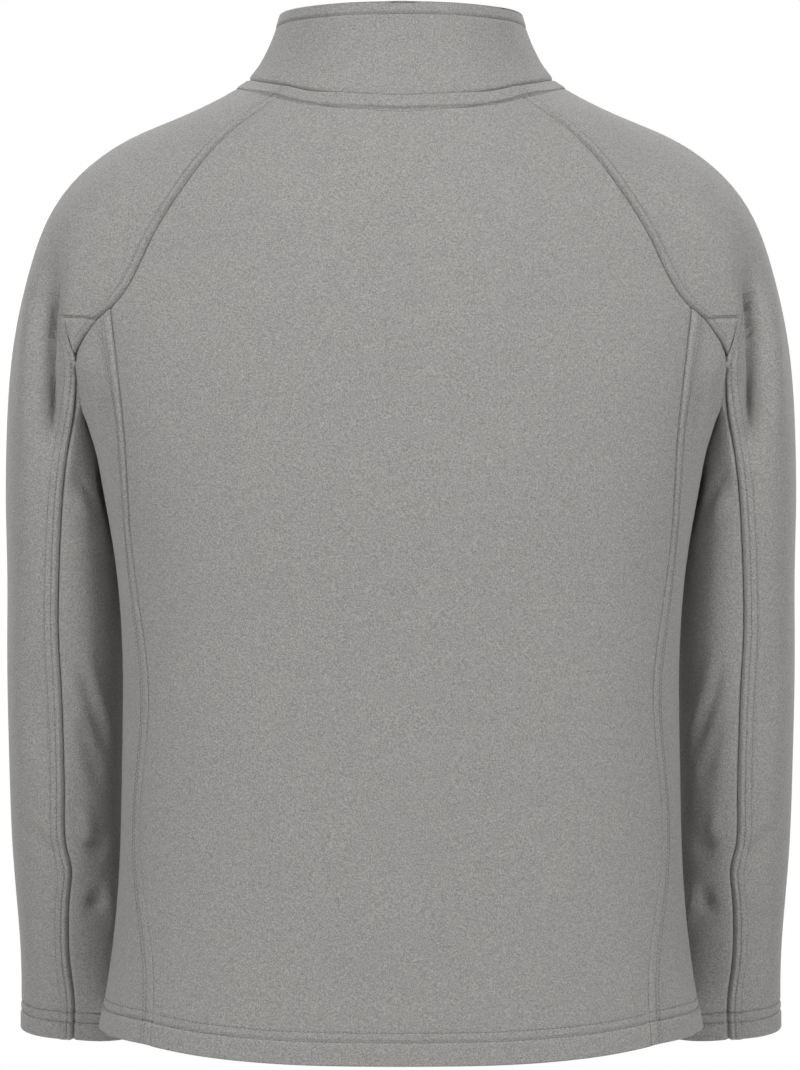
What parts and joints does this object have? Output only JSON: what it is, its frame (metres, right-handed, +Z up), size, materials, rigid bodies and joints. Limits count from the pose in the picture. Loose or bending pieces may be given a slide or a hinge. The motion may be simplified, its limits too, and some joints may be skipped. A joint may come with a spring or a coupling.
{
  "type": "zip fleece pullover",
  "caption": "Raglan fleece pullover with side panels, a stand collar and a quarter zip, filled out as worn, with open neck, hem and cuffs.",
  "frame": {"origin": "middle of the neck, level with the shoulder points of the neck seam, where the wearer's shoulders carry the garment", "axes": "+Z up, front towards -Y, +X to the wearer's left"},
  "size_m": [0.6074, 0.2583, 0.7868],
  "materials": {
    "fleece": "light warm grey brushed microfleece, matt, with a short even nap",
    "zip_tape": "grey woven polyester zip tape",
    "zip_nylon": "grey nylon coil",
    "zip_enamel": "grey enamelled zinc, satin"
  },
  "bodies": {
    "pullover": {"back_panel": "fleece", "front_panel": "fleece", "side_panel_left": "fleece", "side_panel_right": "fleece", "top_sleeve_left": "fleece", "top_sleeve_right": "fleece", "under_sleeve_left": "fleece", "under_sleeve_right": "fleece", "collar": "fleece", "zip_tape_left": "zip_tape", "zip_tape_right": "zip_tape", "zip_chain": "zip_nylon", "zip_bottom_stop": "zip_nylon", "zip_top_stop_left": "zip_nylon", "zip_top_stop_right": "zip_nylon", "zip_slider": "zip_enamel"},
    "pull": {"zip_pull": "zip_enamel"}
  },
  "joints": [
    {"name": "pull_tab", "type": "hinge", "parent": "pullover", "child": "pull", "pos_m": [0, -0.08171, -0.01465], "axis": [-1, 0, 0], "range_deg": [0, 135]}
  ]
}
